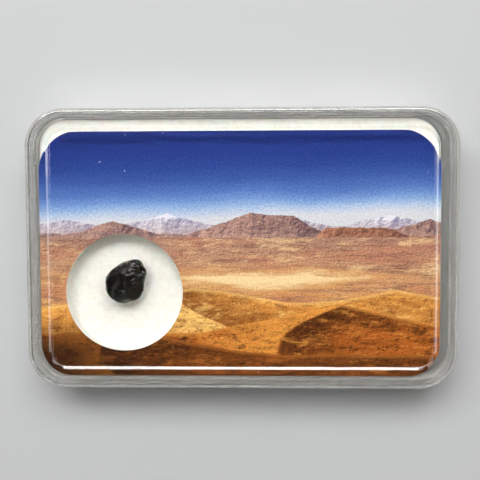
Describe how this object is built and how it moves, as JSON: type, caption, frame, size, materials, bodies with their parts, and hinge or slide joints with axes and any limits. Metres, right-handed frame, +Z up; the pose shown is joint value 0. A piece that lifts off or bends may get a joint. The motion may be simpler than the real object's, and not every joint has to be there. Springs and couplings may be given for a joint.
{
  "type": "boxed tektite specimen",
  "caption": "Small rough black tektite in a flat clear plastic keepsake box, lying in a round well of white foam under a printed card with a round window.",
  "frame": {"origin": "middle of the box's underside", "axes": "+Z up through the lid, +X along the long side to the right of the picture on the card, +Y towards the top of the card"},
  "size_m": [0.0904, 0.0588, 0.0124],
  "materials": {
    "clear_plastic": "clear moulded polystyrene, glossy",
    "white_foam": "soft white closed-cell foam, matt",
    "printed_card": null,
    "black_tektite": "rough black natural glass with a satin sheen"
  },
  "bodies": {
    "root": {"base_tray": "clear_plastic", "lid": "clear_plastic", "foam_floor": "white_foam", "foam_well": "white_foam", "card": "printed_card", "stone": "black_tektite"}
  },
  "joints": []
}
